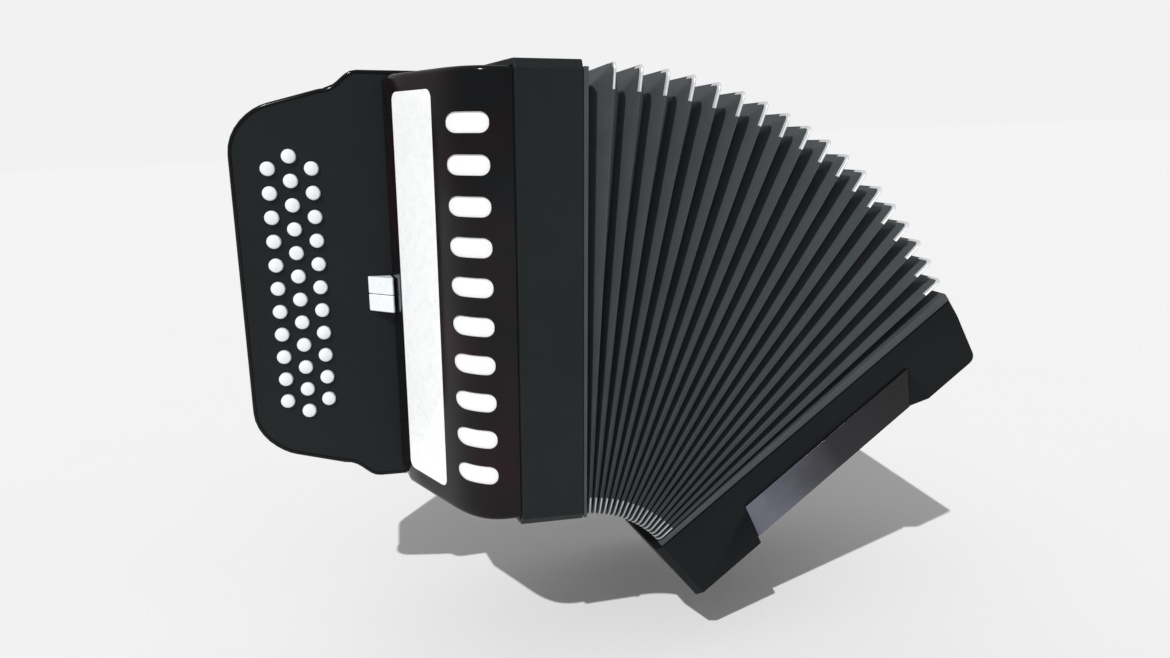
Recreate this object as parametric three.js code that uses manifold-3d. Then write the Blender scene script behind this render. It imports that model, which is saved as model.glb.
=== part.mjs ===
// Three-row button accordion with its bellows fanned open.
// Millimetres, +Z up. X runs from the keyboard (-) to the bass end (+), the grille faces -Y.
// The origin is the middle of the treble casing's flat back, which rests on the player.
import * as THREE from "three";
import { mergeVertices } from "three/addons/utils/BufferGeometryUtils.js";
import Module from "manifold-3d";

const wasm = await Module();
wasm.setup();

// ---------- driving dimensions ----------
const GAP = 0.3; // between pieces that touch
const BODY_DEPTH = 185; // front to back of casings and bellows
const BODY_HEIGHT = 310; // treble casing, top to bottom

const CASING_FRONT_WIDTH = 43; // treble casing's face beside the grille
const CASING_BACK_WIDTH = 57; // it widens behind the grille
const CASING_RAKE_DEPTH = 60; // where that widening ends
const CASING_WALL = 7;
const BEVEL_UP = 5.7; // bevel on the front's top and bottom edges
const BEVEL_IN = 4;

const COVER_HEIGHT = 301;
const COVER_WALL = 2.5;
const COVER_STEP = 2.5; // cover's front lies this far behind the casing's front
const COVER_FLAT = 10; // flat strip beside the casing
const PANEL_NEAR = new THREE.Vector2(-48.1, 33.5); // ends of the slanted face: across from the
const PANEL_FAR = new THREE.Vector2(-75, 83.4); // casing's front corner, and back from its front
const SLOT_COUNT = 10;
const SLOT_PITCH = 25.94;
const SLOT_WIDTH = 25.8;
const SLOT_HEIGHT = 12.9;
const SLOT_RADIUS = 5.6;
const SLOT_MIDDLE = 28.8; // from the casing's front corner
const INLAY_WIDTH = 51.8;
const INLAY_HEIGHT = 274.4;
const INLAY_RAISE = 0.9; // its middle lies above mid-height
const INLAY_RADIUS = 6;
const INLAY_THICKNESS = 0.9;
const INLAY_SEAT = 1;
const LINING_THICKNESS = 0.8;
const LINING_HEIGHT = 278;

const BOARD_SET_BACK = 113.2; // fingerboard's face behind the casing's front
const BOARD_THICKNESS = 4;
const BOARD_REACH = 189; // from the casing's front corner to the fingerboard's free edge
const BOARD_END_HEIGHT = 283; // height of the fingerboard's waist, past the shoulder
const BOARD_DROP = 9.9; // the waist's top edge falls by this much to the free corners
const BOARD_CORNER = 22;
const SHOULDER_START = 98; // from the casing's front corner
const SHOULDER_LENGTH = 27;
const HOUSING_DEPTH = 50;
const HOUSING_WALL = 4;

const BUTTON_RADIUS = 5.1;
const BUTTON_CLEARANCE = 0.45;
const BUTTON_PROUD = 3.6;
const BUTTON_TRAVEL = 3;
const BUTTON_SKIRT = 4.5; // cap's length under the fingerboard's face
const BUTTON_STEM_RADIUS = 2.2;
const BUTTON_STEM = 9;
const BUTTON_PITCH = 17.4;
const BUTTON_MIDDLE = -0.8; // the rows' middle, from mid-height
const BUTTON_ROW_PITCH = 15;
const BUTTON_ROWS = [11, 12, 11]; // from the cover outwards
const BUTTON_FIRST_ROW = 133.2; // from the casing's front corner

const TAB_WIDTH = 16.7;
const TAB_HEIGHT = 12.9;
const TAB_SPLIT = 0.5;
const TAB_MIDDLE = -7; // height of the line between the two tabs
const TAB_LEAN = 2.4; // its high edge leans towards the cover
const TAB_LEFT = 98.6; // from the casing's front corner
const TAB_LOW = 1; // tab's face over the fingerboard at its outer end
const TAB_HIGH = 14.8; // and beside the cover
const TAB_CLEARANCE = 0.4;
const TAB_TRAVEL = 2.5;
const TAB_FOOT = 3; // under the fingerboard's face

const SOUNDBOARD_THICKNESS = 6;
const SOUNDBOARD_INSET = 24; // from the bellows side of the casing
const PALLET_HOLES = 9;
const REED_BLOCK = new THREE.Vector3(30, 42, 252);
const REED_CELLS = 9;

const FOLDS = 18;
const SECTIONS = 3;
const FOLD_DEPTH = 20;
const FOLD_PITCH = 3.42; // at the pivots, and everywhere when the bellows is shut
const FOLD_WALL = 2;
const FOLD_CORNER = 8;
const FAN_FIRST = 3; // degrees from upright of the first ridge
const FAN_LAST = 49.2; // and of the last
const FAN_START_MARGIN = 2.8; // from the first ridge back to the first line
const FAN_END_MARGIN = 1.7; // and from the last ridge to the last line
const FAN_SHORTER = 2.2; // the first fold is this much shorter than the treble casing
const FAN_HEIGHT_LOSS = 25; // the bass end is shorter
const FAN_START = new THREE.Vector2(2.9, -3.9); // first fold's foot: from the casing, from its flat foot

const BASS_TILT = 51.5;
const BASS_LENGTH = BODY_HEIGHT - 25.4; // the bass end is this much shorter than the treble casing
const BASS_THICKNESS = 52.5;
const BASS_WALL = 6;
const BASS_TOP_RAKE = 8; // outer face is shorter than the inner one at the top
const BASS_FOOT_RAKE = 21; // the back reaches lower than the front
const BASS_CORNER = 6;
const BASS_JOIN = 4.1; // from the last fold's foot to the bass casing's inner face
const FRAME_SHORT = [4, 2.4]; // frames' tops stop this short of the folds': treble end, bass end
const BASS_FOOT = -0.25; // that foot lies this far above the casing's flat foot
const PALM_INNER = 19; // palm recess: its inner edge from the bellows side
const PALM_TOP = 55.5;
const PALM_LENGTH = 159;
const PALM_DEPTH = 8.2;
const PALM_END_RAKE = 12; // its ends slope
const PALM_PLATE = 1.1;

const BASS_BUTTON_RADIUS = 4;
const BASS_BUTTON_PROUD = 4.5;
const BASS_BUTTON_PITCH = 17;
const BASS_BUTTON_ROWS = 3;
const BASS_BUTTON_TRAVEL = 3;
const BASS_BUTTON_TOP = 112;
const BASS_BUTTON_FROM_FRONT = 46;
const AIR_BUTTON_RADIUS = 7;
const AIR_BUTTON_PROUD = 5;
const AIR_BUTTON_DOWN = 70;
const STRAP_WIDTH = 58;
const STRAP_THICKNESS = 4;
const STRAP_RISE = 30;
const STRAP_LENGTH = 226;
const STRAP_LANDING = 22;
const STRAP_FROM_FRONT = 118; // its middle line
const STRAP_DOWN = 30;

// ---------- frame ----------
const FRONT = -BODY_DEPTH;
const BELLOWS_SIDE = CASING_BACK_WIDTH / 2;
const FRONT_CORNER = BELLOWS_SIDE - CASING_FRONT_WIDTH; // casing's front corner beside the grille
const OUTER_SIDE = -CASING_BACK_WIDTH / 2;
const HALF_FLAT = BODY_HEIGHT / 2 - BEVEL_UP; // half the flat front's height
const HOUSING_FRONT = FRONT + BOARD_SET_BACK + BOARD_THICKNESS + GAP;
const HOUSING_BACK = HOUSING_FRONT + HOUSING_DEPTH;
const degrees = THREE.MathUtils.degToRad;

// ---------- helpers ----------
function toSolid(geometry) {
  const g = geometry.clone();
  g.deleteAttribute("normal");
  g.deleteAttribute("uv");
  const merged = mergeVertices(g, 1e-4);
  return new wasm.Manifold(
    new wasm.Mesh({
      numProp: 3,
      vertProperties: new Float32Array(merged.attributes.position.array),
      triVerts: new Uint32Array(merged.index.array),
    }),
  );
}

function toGeometry(solid) {
  const mesh = solid.getMesh();
  const g = new THREE.BufferGeometry();
  g.setAttribute("position", new THREE.BufferAttribute(mesh.vertProperties, 3));
  g.setIndex(new THREE.BufferAttribute(mesh.triVerts, 1));
  return g;
}

const cut = (solid, ...tools) => tools.reduce((rest, tool) => rest.subtract(tool), solid);
const outline = (points) => new THREE.Shape(points.map(([a, b]) => new THREE.Vector2(a, b)));

// A plan drawn in X and Y, raised from z0 to z1.
function upright(shape, z0, z1, curveSegments = 8) {
  const options = { depth: z1 - z0, bevelEnabled: false, curveSegments };
  return toSolid(new THREE.ExtrudeGeometry(shape, options).translate(0, 0, z0));
}

// An elevation drawn in X and Z, running from y0 back to y1.
function throughDepth(shape, y0, y1, curveSegments = 8) {
  const options = { depth: y1 - y0, bevelEnabled: false, curveSegments };
  return toSolid(new THREE.ExtrudeGeometry(shape, options).rotateX(Math.PI / 2).translate(0, y1, 0));
}

// A side view drawn in Y and Z, running from x0 to x1.
function across(shape, x0, x1) {
  const turn = new THREE.Matrix4().makeBasis(
    new THREE.Vector3(0, 1, 0),
    new THREE.Vector3(0, 0, 1),
    new THREE.Vector3(1, 0, 0),
  );
  const g = new THREE.ExtrudeGeometry(shape, { depth: x1 - x0, bevelEnabled: false });
  return toSolid(g.applyMatrix4(turn).translate(x0, 0, 0));
}

function block(x0, x1, y0, y1, z0, z1) {
  const g = new THREE.BoxGeometry(x1 - x0, y1 - y0, z1 - z0);
  return toSolid(g.translate((x0 + x1) / 2, (y0 + y1) / 2, (z0 + z1) / 2));
}

// A rectangle with round corners, centred on (a, b).
function roundedRect(a, b, width, height, radius) {
  const s = new THREE.Shape();
  const [l, r, d, u] = [a - width / 2, a + width / 2, b - height / 2, b + height / 2];
  s.moveTo(l + radius, d).lineTo(r - radius, d);
  s.absarc(r - radius, d + radius, radius, -Math.PI / 2, 0, false);
  s.lineTo(r, u - radius);
  s.absarc(r - radius, u - radius, radius, 0, Math.PI / 2, false);
  s.lineTo(l + radius, u);
  s.absarc(l + radius, u - radius, radius, Math.PI / 2, Math.PI, false);
  s.lineTo(l, d + radius);
  s.absarc(l + radius, d + radius, radius, Math.PI, 1.5 * Math.PI, false);
  return s;
}

// A closed solid from corner points and faces, each face listed anticlockwise from outside.
function polyhedron(points, faces) {
  const g = new THREE.BufferGeometry();
  g.setAttribute("position", new THREE.Float32BufferAttribute(points.flat(), 3));
  g.setIndex(faces.flatMap((f) => f.slice(2).flatMap((last, i) => [f[0], f[i + 1], last])));
  return toSolid(g);
}

// A line of points moved sideways by an amount, to the right of its direction.
function offsetPath(points, amount) {
  return points.map((p, i) => {
    const before = points[Math.max(i - 1, 0)];
    const after = points[Math.min(i + 1, points.length - 1)];
    const into = p.clone().sub(before).normalize();
    const out = after.clone().sub(p).normalize();
    const along = into.add(out).normalize();
    const half = i && i < points.length - 1 ? after.clone().sub(p).normalize().dot(along) : 1;
    return new THREE.Vector2(along.y, -along.x).multiplyScalar(amount / half).add(p);
  });
}

const group = new THREE.Group();
const finish = (color, roughness, metalness = 0) =>
  new THREE.MeshStandardMaterial({ color, roughness, metalness });
const LOOKS = {
  satin_black: () => finish(0x24292b, 0.45),
  gloss_black: () => finish(0x0b0c0e, 0.12),
  pearl_white: () => finish(0xfafcfc, 0.35),
  cloth_white: () => finish(0xf6f6f4, 0.9),
  bellows_card: () => finish(0x3f4446, 0.6),
  spruce: () => finish(0xc9a772, 0.7),
  leather: () => finish(0x17171a, 0.6),
  palm_gloss: () => finish(0x5a5a66, 0.15),
};

function add(name, solid, look, parent = group) {
  const mesh = new THREE.Mesh(toGeometry(solid), LOOKS[look]());
  mesh.name = name;
  parent.add(mesh);
}

// ---------- treble casing ----------
function trebleCasing() {
  const plan = outline([
    [BELLOWS_SIDE, FRONT],
    [BELLOWS_SIDE, 0],
    [OUTER_SIDE, 0],
    [OUTER_SIDE, FRONT + CASING_RAKE_DEPTH],
    [FRONT_CORNER, FRONT],
  ]);
  const top = BODY_HEIGHT / 2;
  const side = outline([
    [FRONT, -HALF_FLAT],
    [FRONT + BEVEL_IN, -top],
    [0, -top],
    [0, top],
    [FRONT + BEVEL_IN, top],
    [FRONT, HALF_FLAT],
  ]);
  const shell = upright(plan, -top, top).intersect(across(side, OUTER_SIDE - 1, BELLOWS_SIDE + 1));
  const [y0, y1] = [FRONT + CASING_WALL, -CASING_WALL];
  const half = top - CASING_WALL;
  const inside = block(OUTER_SIDE + CASING_WALL, BELLOWS_SIDE + 1, y0, y1, -half, half);
  // open to the grille and the keyboard housing, shut behind them
  const throat = block(OUTER_SIDE - 1, OUTER_SIDE + CASING_WALL + 1, y0, HOUSING_BACK - HOUSING_WALL, -half, half);
  add("treble_casing", cut(shell, inside, throat), "satin_black");
}

// ---------- grille cover: flat beside the casing, rounded, slanted face, side wall ----------
const corner = (across_, back) => new THREE.Vector2(FRONT_CORNER + across_, FRONT + back);

function coverPath() {
  const start = corner(-GAP - 0.6, COVER_STEP);
  const bendStart = corner(-COVER_FLAT, COVER_STEP);
  const near = corner(PANEL_NEAR.x, PANEL_NEAR.y);
  const far = corner(PANEL_FAR.x, PANEL_FAR.y);
  const slope = far.clone().sub(near).normalize();
  const bend = new THREE.CubicBezierCurve(
    bendStart,
    bendStart.clone().add(new THREE.Vector2(-20, 0)),
    near.clone().addScaledVector(slope, -17),
    near,
  );
  const foot = corner(PANEL_FAR.x - 5.8, BOARD_SET_BACK - GAP);
  return [start, ...bend.getPoints(9), far, foot];
}

function treblecover() {
  const path = coverPath();
  const half = COVER_HEIGHT / 2;
  const foot = path[path.length - 1];
  const hidden = [
    new THREE.Vector2(OUTER_SIDE - GAP, foot.y),
    new THREE.Vector2(OUTER_SIDE - GAP, FRONT + CASING_RAKE_DEPTH),
  ];
  const body = upright(new THREE.Shape([...path, ...hidden]), -half, half);
  const inner = offsetPath(path, COVER_WALL);
  const last = inner[inner.length - 1];
  const hollow = new THREE.Shape([
    new THREE.Vector2(inner[0].x + 40, inner[0].y),
    ...inner,
    new THREE.Vector2(last.x, last.y + 5),
    new THREE.Vector2(OUTER_SIDE + 40, last.y + 5),
  ]);
  const inside = upright(hollow, -half + COVER_WALL, half - COVER_WALL);
  const slots = [];
  for (let i = 0; i < SLOT_COUNT; i++) {
    const z = (i - (SLOT_COUNT - 1) / 2) * SLOT_PITCH;
    const shape = roundedRect(FRONT_CORNER - SLOT_MIDDLE, z, SLOT_WIDTH, SLOT_HEIGHT, SLOT_RADIUS);
    slots.push(throughDepth(shape, FRONT - 5, FRONT + PANEL_NEAR.y, 4));
  }
  const seat = inlayPlate(INLAY_WIDTH + GAP * 2, INLAY_HEIGHT + GAP * 2, -INLAY_SEAT, 3);
  add("treble_cover", cut(body, inside, ...slots, seat), "gloss_black");
}

// A plate on the cover's slanted face, from one height over that face to another.
function inlayPlate(width, height, low, high) {
  const near = corner(PANEL_NEAR.x, PANEL_NEAR.y);
  const far = corner(PANEL_FAR.x, PANEL_FAR.y);
  const along = far.clone().sub(near).normalize();
  const middle = near.clone().lerp(far, 0.506);
  const radius = INLAY_RADIUS + (width - INLAY_WIDTH) / 2;
  const g = new THREE.ExtrudeGeometry(roundedRect(0, 0, width, height, radius), {
    depth: high - low,
    bevelEnabled: false,
    curveSegments: 4,
  }).translate(0, 0, low);
  const right = new THREE.Vector3(-along.x, -along.y, 0);
  const up = new THREE.Vector3(0, 0, 1);
  const place = new THREE.Matrix4().makeBasis(right, up, right.clone().cross(up));
  place.setPosition(middle.x, middle.y, INLAY_RAISE);
  return toSolid(g.applyMatrix4(place));
}

function coverInlay() {
  const low = GAP - INLAY_SEAT;
  add("cover_inlay", inlayPlate(INLAY_WIDTH, INLAY_HEIGHT, low, low + INLAY_THICKNESS), "pearl_white");
}

// White cloth behind the slots, on the cover's inside.
function grilleLining() {
  const bend = coverPath().slice(1, 10);
  const outer = offsetPath(bend, COVER_WALL + GAP);
  const inner = offsetPath(bend, COVER_WALL + GAP + LINING_THICKNESS).reverse();
  const half = LINING_HEIGHT / 2;
  add("grille_lining", upright(new THREE.Shape([...outer, ...inner]), -half, half), "cloth_white");
}

// ---------- fingerboard and the housing behind it ----------
// Upper half of the outline from the casing outwards; the lower half mirrors it.
function boardOutline(inset) {
  const top = BODY_HEIGHT / 2 - inset;
  const waist = BOARD_END_HEIGHT / 2 - inset;
  const right = OUTER_SIDE - GAP;
  const shoulder = FRONT_CORNER - SHOULDER_START;
  const waistStart = shoulder - SHOULDER_LENGTH;
  const left = FRONT_CORNER - BOARD_REACH + inset;
  const cornerTop = waist - BOARD_DROP;
  const curve = new THREE.CubicBezierCurve(
    new THREE.Vector2(shoulder, top),
    new THREE.Vector2(shoulder - SHOULDER_LENGTH * 0.4, top),
    new THREE.Vector2(waistStart + SHOULDER_LENGTH * 0.5, waist),
    new THREE.Vector2(waistStart, waist),
  );
  const round = new THREE.CubicBezierCurve(
    new THREE.Vector2(left + BOARD_CORNER * 1.3, cornerTop),
    new THREE.Vector2(left + BOARD_CORNER * 0.77, cornerTop - BOARD_CORNER * 0.14),
    new THREE.Vector2(left, cornerTop - BOARD_CORNER * 0.77),
    new THREE.Vector2(left, cornerTop - BOARD_CORNER * 1.64),
  );
  const upper = [new THREE.Vector2(right, top), ...curve.getPoints(7), ...round.getPoints(8)];
  const lower = upper.map((p) => new THREE.Vector2(p.x, -p.y)).reverse();
  return new THREE.Shape([...upper, ...lower]);
}

// Every treble button's row, place in the row, and centre.
function buttonPlaces() {
  return BUTTON_ROWS.flatMap((count, row) =>
    Array.from({ length: count }, (_, i) => ({
      name: `treble_button_${row + 1}_${String(i + 1).padStart(2, "0")}`,
      x: FRONT_CORNER - BUTTON_FIRST_ROW - row * BUTTON_ROW_PITCH,
      z: BUTTON_MIDDLE + ((count - 1) / 2 - i) * BUTTON_PITCH,
    })),
  );
}

const tabSpan = () => [FRONT_CORNER - TAB_LEFT, FRONT_CORNER - TAB_LEFT + TAB_WIDTH];

function fingerboard() {
  const face = FRONT + BOARD_SET_BACK;
  const hole = BUTTON_RADIUS + BUTTON_CLEARANCE;
  const holes = buttonPlaces().map(({ x, z }) => {
    const g = new THREE.CylinderGeometry(hole, hole, BOARD_THICKNESS + 4, 12);
    return toSolid(g.translate(x, face + BOARD_THICKNESS / 2, z));
  });
  const [x0, x1] = tabSpan();
  const tabHalf = TAB_HEIGHT + TAB_SPLIT / 2 + TAB_CLEARANCE;
  const tabHole = block(
    x0 - TAB_CLEARANCE,
    x1 + TAB_CLEARANCE + TAB_LEAN * 0.35,
    face - 2,
    face + BOARD_THICKNESS + 2,
    TAB_MIDDLE - tabHalf,
    TAB_MIDDLE + tabHalf,
  );
  const plate = throughDepth(boardOutline(0), face, face + BOARD_THICKNESS);
  add("fingerboard", cut(plate, ...holes, tabHole), "satin_black");
  const body = throughDepth(boardOutline(1), HOUSING_FRONT, HOUSING_BACK);
  const pocket = throughDepth(boardOutline(1 + HOUSING_WALL), HOUSING_FRONT - 1, HOUSING_BACK - HOUSING_WALL);
  const throat = block(
    OUTER_SIDE - HOUSING_WALL - 20,
    OUTER_SIDE + 1,
    HOUSING_FRONT - 1,
    HOUSING_BACK - HOUSING_WALL,
    -BODY_HEIGHT / 2 + CASING_WALL,
    BODY_HEIGHT / 2 - CASING_WALL,
  );
  add("keyboard_housing", cut(body, pocket, throat), "satin_black");
}

// ---------- buttons: a domed cap on a stem, pressed along +Y ----------
function capAndStem(radius, proud, skirt, stemRadius, stem, segments) {
  const dome = radius * 0.28;
  const profile = [
    [0, -proud],
    [radius * 0.6, -proud + dome * 0.25],
    [radius, -proud + dome],
    [radius, skirt],
    [stemRadius, skirt],
    [stemRadius, skirt + stem],
    [0, skirt + stem],
  ];
  const points = profile.map(([r, y]) => new THREE.Vector2(r, y));
  return new THREE.LatheGeometry(points, segments);
}

function trebleButtons() {
  const g = capAndStem(BUTTON_RADIUS, BUTTON_PROUD, BUTTON_SKIRT, BUTTON_STEM_RADIUS, BUTTON_STEM, 10);
  const solid = toSolid(g);
  for (const { name, x, z } of buttonPlaces()) {
    add(name, solid.translate([x, FRONT + BOARD_SET_BACK, z]), "pearl_white");
  }
}

// Two wedge-shaped register tabs, one over the other, at the cover's foot.
function registerTabs() {
  const face = FRONT + BOARD_SET_BACK;
  const [x0, x1] = tabSpan();
  const side = [
    [x0, face - TAB_LOW],
    [x1 + TAB_LEAN - 4, face - TAB_HIGH + 2.2],
    [x1 + TAB_LEAN - 1.2, face - TAB_HIGH + 0.4],
    [x1 + TAB_LEAN, face - TAB_HIGH + 1.6],
    [x1, face + TAB_FOOT],
    [x0, face + TAB_FOOT],
  ];
  const low = TAB_MIDDLE - TAB_SPLIT / 2 - TAB_HEIGHT;
  const high = TAB_MIDDLE + TAB_SPLIT / 2;
  add("register_tab_lower", upright(outline(side), low, low + TAB_HEIGHT), "pearl_white");
  add("register_tab_upper", upright(outline(side), high, high + TAB_HEIGHT), "pearl_white");
}

// ---------- inside the treble end ----------
function reedBlock(x0, yMiddle, z0, z1) {
  const y0 = yMiddle - REED_BLOCK.y / 2;
  const y1 = yMiddle + REED_BLOCK.y / 2;
  const pitch = (z1 - z0) / REED_CELLS;
  const cells = Array.from({ length: REED_CELLS }, (_, i) => {
    const z = z0 + (i + 0.5) * pitch;
    return block(x0 + 5, x0 + REED_BLOCK.x - 5, y0 - 1, y0 + 12, z - pitch * 0.32, z + pitch * 0.32);
  });
  return cut(block(x0, x0 + REED_BLOCK.x, y0, y1, z0, z1), ...cells);
}

function trebleInside() {
  const half = BODY_HEIGHT / 2 - CASING_WALL - GAP;
  const y0 = FRONT + CASING_WALL + GAP;
  const y1 = -CASING_WALL - GAP;
  const x0 = BELLOWS_SIDE - SOUNDBOARD_INSET;
  const holes = [];
  for (let i = 0; i < PALLET_HOLES; i++) {
    const z = (i - (PALLET_HOLES - 1) / 2) * 29;
    for (const y of [FRONT + 60, FRONT + 105]) {
      holes.push(block(x0 - 1, x0 + SOUNDBOARD_THICKNESS + 1, y - 11, y + 11, z - 4, z + 4));
    }
  }
  const board = block(x0, x0 + SOUNDBOARD_THICKNESS, y0, y1, -half, half);
  add("treble_soundboard", cut(board, ...holes), "spruce");
  const blockX = x0 + SOUNDBOARD_THICKNESS + GAP;
  const block_ = reedBlock(blockX, FRONT + 82, -REED_BLOCK.z / 2, REED_BLOCK.z / 2);
  add("treble_reed_block", block_, "spruce");
}

// ---------- bellows ----------
// Lines 0 to 2 * FOLDS fan out from pivots along the foot: even ones are valleys, odd ones ridges.
function fanLines() {
  const step = (FAN_LAST - FAN_FIRST) / (2 * FOLDS - 2);
  const lines = [];
  const pivot = new THREE.Vector2(BELLOWS_SIDE + FAN_START.x, -HALF_FLAT + FAN_START.y);
  for (let j = 0; j <= 2 * FOLDS; j++) {
    let angle = FAN_FIRST + (j - 1) * step;
    if (j === 0) angle = FAN_FIRST - FAN_START_MARGIN;
    if (j === 2 * FOLDS) angle = FAN_LAST + FAN_END_MARGIN;
    if (j) {
      const middle = degrees(angle - step / 2);
      pivot.x += (FOLD_PITCH / 2) * Math.cos(middle);
      pivot.y -= (FOLD_PITCH / 2) * Math.sin(middle);
    }
    const share = ((j + 1) / 2 - 2) / (FOLDS - 2);
    lines.push({
      foot: pivot.clone(),
      angle: degrees(angle),
      length: BODY_HEIGHT - FAN_SHORTER - FAN_HEIGHT_LOSS * Math.max(share, 0) ** 2,
      inset: j % 2 ? 0 : FOLD_DEPTH,
    });
  }
  return lines;
}

// Eight corners of one ring of the bellows, and how far it is shifted along the fan.
function ring(line, inset, shift) {
  const c = FOLD_CORNER;
  const [d0, d1] = [inset, line.length - inset];
  const [y0, y1] = [FRONT + 1 + inset, -1 - inset];
  const corners = [
    [d0 + c, y0],
    [d1 - c, y0],
    [d1, y0 + c],
    [d1, y1 - c],
    [d1 - c, y1],
    [d0 + c, y1],
    [d0, y1 - c],
    [d0, y0 + c],
  ];
  const [s, k] = [Math.sin(line.angle), Math.cos(line.angle)];
  return corners.map(([d, y]) => [line.foot.x + d * s + shift * k, y, line.foot.y + d * k - shift * s]);
}

function bellowsSection(lines) {
  const last = lines.length - 1;
  const shift = (i) => (i === 0 ? GAP / 2 : i === last ? -GAP / 2 : 0);
  const outer = lines.map((line, i) => ring(line, line.inset, shift(i)));
  const inner = lines.map((line, i) => ring(line, line.inset + FOLD_WALL, shift(i)));
  const points = [...outer, ...inner].flat();
  const at = (r, i, n) => (r * lines.length + i) * 8 + (n % 8);
  const faces = [];
  for (let n = 0; n < 8; n++) {
    for (let i = 0; i < last; i++) {
      faces.push([at(0, i, n), at(0, i, n + 1), at(0, i + 1, n + 1), at(0, i + 1, n)]);
      faces.push([at(1, i, n), at(1, i + 1, n), at(1, i + 1, n + 1), at(1, i, n + 1)]);
    }
    faces.push([at(0, 0, n), at(1, 0, n), at(1, 0, n + 1), at(0, 0, n + 1)]);
    faces.push([at(0, last, n), at(0, last, n + 1), at(1, last, n + 1), at(1, last, n)]);
  }
  return polyhedron(points, faces.map((f) => f.reverse()));
}

function bellows() {
  const lines = fanLines();
  const each = (2 * FOLDS) / SECTIONS;
  for (let i = 0; i < SECTIONS; i++) {
    add(`bellows_section_${i + 1}`, bellowsSection(lines.slice(i * each, (i + 1) * each + 1)), "bellows_card");
  }
}

// Where the bass end hangs: its origin is the top of its face on the bellows side.
function bassPlace() {
  const tilt = degrees(BASS_TILT);
  const out = new THREE.Vector2(Math.cos(tilt), -Math.sin(tilt));
  const up = new THREE.Vector2(Math.sin(tilt), Math.cos(tilt));
  const foot = fanLines()[2 * FOLDS].foot;
  const origin = foot.clone().addScaledVector(out, BASS_JOIN).addScaledVector(up, -BASS_FLOOR - BASS_FOOT);
  return { tilt, out, up, origin };
}

// A wooden frame between a casing's face and the end of the folds beside it.
function endFrame(name, line, towardsCasing, faceFoot, faceUp, short) {
  const [s, k] = [Math.sin(line.angle), Math.cos(line.angle)];
  const foot = line.foot.clone().add(new THREE.Vector2(k, -s).multiplyScalar(towardsCasing * GAP));
  const foldUp = new THREE.Vector2(s, k);
  const height = line.length - short;
  const elevation = (inset) =>
    new THREE.Shape([
      faceFoot.clone().addScaledVector(faceUp, inset),
      faceFoot.clone().addScaledVector(faceUp, height - inset),
      foot.clone().addScaledVector(foldUp, height - inset),
      foot.clone().addScaledVector(foldUp, inset),
    ]);
  const opening = FOLD_DEPTH + FOLD_WALL;
  const frame = throughDepth(elevation(0), FRONT + 1, -1);
  // the opening's sides run on past both faces
  const middle = elevation(opening).getPoints();
  const wide = middle.map((p, i) => {
    const other = middle[[3, 2, 1, 0][i]];
    return p.clone().add(p.clone().sub(other).setLength(1));
  });
  const hole = throughDepth(new THREE.Shape(wide), FRONT + 1 + opening, -1 - opening);
  add(name, cut(frame, hole), "bellows_card");
}

function endFrames() {
  const lines = fanLines();
  const [first, last] = [lines[0], lines[2 * FOLDS]];
  const face = new THREE.Vector2(BELLOWS_SIDE + GAP, first.foot.y);
  endFrame("bellows_frame_treble", first, -1, face, new THREE.Vector2(0, 1), FRAME_SHORT[0]);
  const { out, up } = bassPlace();
  const bassFoot = last.foot.clone().addScaledVector(out, BASS_JOIN - GAP);
  endFrame("bellows_frame_bass", last, 1, bassFoot, up, FRAME_SHORT[1]);
}

// ---------- bass end, drawn upright and then tilted as one group ----------
// Own frame: x from the bellows side outwards, y as in the whole, z down from the flat top.
const bassGroup = new THREE.Group();
const BASS_FLOOR = -BASS_LENGTH + BEVEL_UP; // flat front's foot, measured from the bass origin

function bassCasing() {
  const t = BASS_THICKNESS;
  const shape = new THREE.Shape();
  shape.moveTo(0, -BASS_LENGTH - BASS_FOOT_RAKE);
  shape.lineTo(t, -BASS_LENGTH - BASS_FOOT_RAKE);
  shape.lineTo(t, -BASS_TOP_RAKE - BASS_CORNER);
  shape.quadraticCurveTo(t, -BASS_TOP_RAKE, t - BASS_CORNER, -BASS_TOP_RAKE + 1);
  shape.lineTo(0, 0);
  const side = outline([
    [FRONT, BASS_FLOOR],
    [FRONT + BEVEL_IN, -BASS_LENGTH],
    [0, -BASS_LENGTH - BASS_FOOT_RAKE],
    [0, 1],
    [FRONT + BEVEL_IN, 1],
    [FRONT, -2],
  ]);
  const shell = throughDepth(shape, FRONT, 0).intersect(across(side, -1, t + 1));
  const w = BASS_WALL;
  const inside = block(-1, t - w, FRONT + w + PALM_DEPTH, -w, -BASS_LENGTH + w, -BASS_TOP_RAKE - w);
  const holes = bassButtonPlaces().map(({ radius, y, z }) => {
    const g = new THREE.CylinderGeometry(radius + BUTTON_CLEARANCE, radius + BUTTON_CLEARANCE, w + 4, 12);
    return toSolid(g.rotateZ(Math.PI / 2).translate(t - w / 2, y, z));
  });
  add("bass_casing", cut(shell, inside, palmWedge(0, 2, 0), ...holes), "satin_black", bassGroup);
}

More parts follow.
